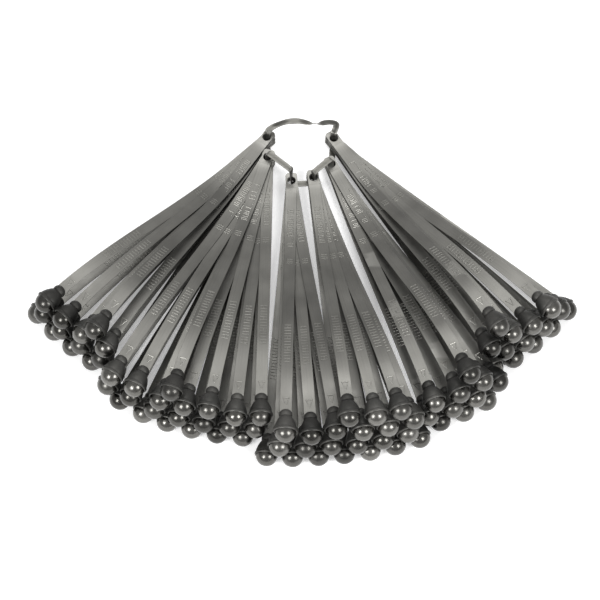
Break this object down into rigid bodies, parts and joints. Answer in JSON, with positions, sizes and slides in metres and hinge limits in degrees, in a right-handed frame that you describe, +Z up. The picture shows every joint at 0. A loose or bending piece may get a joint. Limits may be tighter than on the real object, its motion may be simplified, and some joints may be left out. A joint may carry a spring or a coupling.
{
  "type": "bundle of ball-lock strap seals",
  "caption": "Fan of flat metal strap seals, each with a ball lock at one end and a holed tongue at the other, strung on a flat carrier band.",
  "frame": {"origin": "middle of the carrier band's hand opening, on the surface the bundle lies on", "axes": "+Z up, the fan opens towards -Y, +X to the right seen from the balls' side"},
  "size_m": [0.3701, 0.2501, 0.0671],
  "materials": {
    "band_tinplate": "satin, thin warm-grey tinplate with creases",
    "strap_tinplate": "satin warm-grey tinplate with fine rolling grain and scuffs",
    "cap_steel": "dull dark pressed steel",
    "dome_steel": "burnished gunmetal, semi-gloss",
    "spring_steel": "bright drawn wire"
  },
  "bodies": {
    "bundle": {"carrier_band": "band_tinplate", "middle_straps": "strap_tinplate", "middle_ball_caps": "cap_steel", "middle_ball_domes": "dome_steel", "middle_lock_rings": "spring_steel"},
    "left_wing": {"left_wing_straps": "strap_tinplate", "left_wing_ball_caps": "cap_steel", "left_wing_ball_domes": "dome_steel", "left_wing_lock_rings": "spring_steel"},
    "right_wing": {"right_wing_straps": "strap_tinplate", "right_wing_ball_caps": "cap_steel", "right_wing_ball_domes": "dome_steel", "right_wing_lock_rings": "spring_steel"},
    "seal_01": {"seal_01_strap": "strap_tinplate", "seal_01_ball_cap": "cap_steel", "seal_01_ball_dome": "dome_steel", "seal_01_lock_rings": "spring_steel"},
    "seal_02": {"seal_02_strap": "strap_tinplate", "seal_02_ball_cap": "cap_steel", "seal_02_ball_dome": "dome_steel", "seal_02_lock_rings": "spring_steel"},
    "seal_03": {"seal_03_strap": "strap_tinplate", "seal_03_ball_cap": "cap_steel", "seal_03_ball_dome": "dome_steel", "seal_03_lock_rings": "spring_steel"},
    "seal_04": {"seal_04_strap": "strap_tinplate", "seal_04_ball_cap": "cap_steel", "seal_04_ball_dome": "dome_steel", "seal_04_lock_rings": "spring_steel"},
    "seal_05": {"seal_05_strap": "strap_tinplate", "seal_05_ball_cap": "cap_steel", "seal_05_ball_dome": "dome_steel", "seal_05_lock_rings": "spring_steel"},
    "seal_06": {"seal_06_strap": "strap_tinplate", "seal_06_ball_cap": "cap_steel", "seal_06_ball_dome": "dome_steel", "seal_06_lock_rings": "spring_steel"},
    "seal_07": {"seal_07_strap": "strap_tinplate", "seal_07_ball_cap": "cap_steel", "seal_07_ball_dome": "dome_steel", "seal_07_lock_rings": "spring_steel"},
    "seal_08": {"seal_08_strap": "strap_tinplate", "seal_08_ball_cap": "cap_steel", "seal_08_ball_dome": "dome_steel", "seal_08_lock_rings": "spring_steel"},
    "seal_09": {"seal_09_strap": "strap_tinplate", "seal_09_ball_cap": "cap_steel", "seal_09_ball_dome": "dome_steel", "seal_09_lock_rings": "spring_steel"},
    "seal_10": {"seal_10_strap": "strap_tinplate", "seal_10_ball_cap": "cap_steel", "seal_10_ball_dome": "dome_steel", "seal_10_lock_rings": "spring_steel"},
    "seal_11": {"seal_11_strap": "strap_tinplate", "seal_11_ball_cap": "cap_steel", "seal_11_ball_dome": "dome_steel", "seal_11_lock_rings": "spring_steel"}
  },
  "joints": [
    {"name": "left_wing_swing", "type": "hinge", "parent": "bundle", "child": "left_wing", "pos_m": [-0.02302, 0.00838, 0.005], "axis": [0, 0, -1], "range_deg": [0, 30]},
    {"name": "right_wing_swing", "type": "hinge", "parent": "bundle", "child": "right_wing", "pos_m": [0.0233, 0.00757, 0.005], "axis": [0, 0, 1], "range_deg": [0, 30]},
    {"name": "seal_01_lift", "type": "hinge", "parent": "left_wing", "child": "seal_01", "pos_m": [-0.01959, 0.01229, 0.01005], "axis": [-0.7518, 0.6594, 0], "range_deg": [0, 14]},
    {"name": "seal_02_lift", "type": "hinge", "parent": "seal_01", "child": "seal_02", "pos_m": [-0.02014, 0.01271, 0.0108], "axis": [-0.8321, 0.5546, 0], "range_deg": [0, 14]},
    {"name": "seal_03_lift", "type": "hinge", "parent": "bundle", "child": "seal_03", "pos_m": [-0.01981, -0.00544, 0.0153], "axis": [-0.8694, 0.4941, 0], "range_deg": [0, 14]},
    {"name": "seal_04_lift", "type": "hinge", "parent": "seal_03", "child": "seal_04", "pos_m": [-0.02082, -0.005, 0.01605], "axis": [-0.9538, 0.3005, 0], "range_deg": [0, 14]},
    {"name": "seal_05_lift", "type": "hinge", "parent": "bundle", "child": "seal_05", "pos_m": [-0.00584, -0.01857, 0.00705], "axis": [-0.9999, 0.017, 0], "range_deg": [0, 28]},
    {"name": "seal_06_lift", "type": "hinge", "parent": "bundle", "child": "seal_06", "pos_m": [0.00814, -0.01762, 0.0093], "axis": [-0.9798, -0.2001, 0], "range_deg": [0, 14]},
    {"name": "seal_07_lift", "type": "hinge", "parent": "seal_06", "child": "seal_07", "pos_m": [0.00859, -0.01755, 0.01005], "axis": [-0.9936, -0.1129, 0], "range_deg": [0, 14]},
    {"name": "seal_08_lift", "type": "hinge", "parent": "bundle", "child": "seal_08", "pos_m": [0.01912, -0.00695, 0.0078], "axis": [-0.8753, -0.4835, 0], "range_deg": [0, 14]},
    {"name": "seal_09_lift", "type": "hinge", "parent": "seal_08", "child": "seal_09", "pos_m": [0.01932, -0.00685, 0.00855], "axis": [-0.8957, -0.4448, 0], "range_deg": [0, 14]},
    {"name": "seal_10_lift", "type": "hinge", "parent": "right_wing", "child": "seal_10", "pos_m": [0.02031, 0.01183, 0.01005], "axis": [-0.8182, -0.5749, 0], "range_deg": [0, 14]},
    {"name": "seal_11_lift", "type": "hinge", "parent": "seal_10", "child": "seal_11", "pos_m": [0.0205, 0.01196, 0.0108], "axis": [-0.843, -0.5379, 0], "range_deg": [0, 14]}
  ]
}
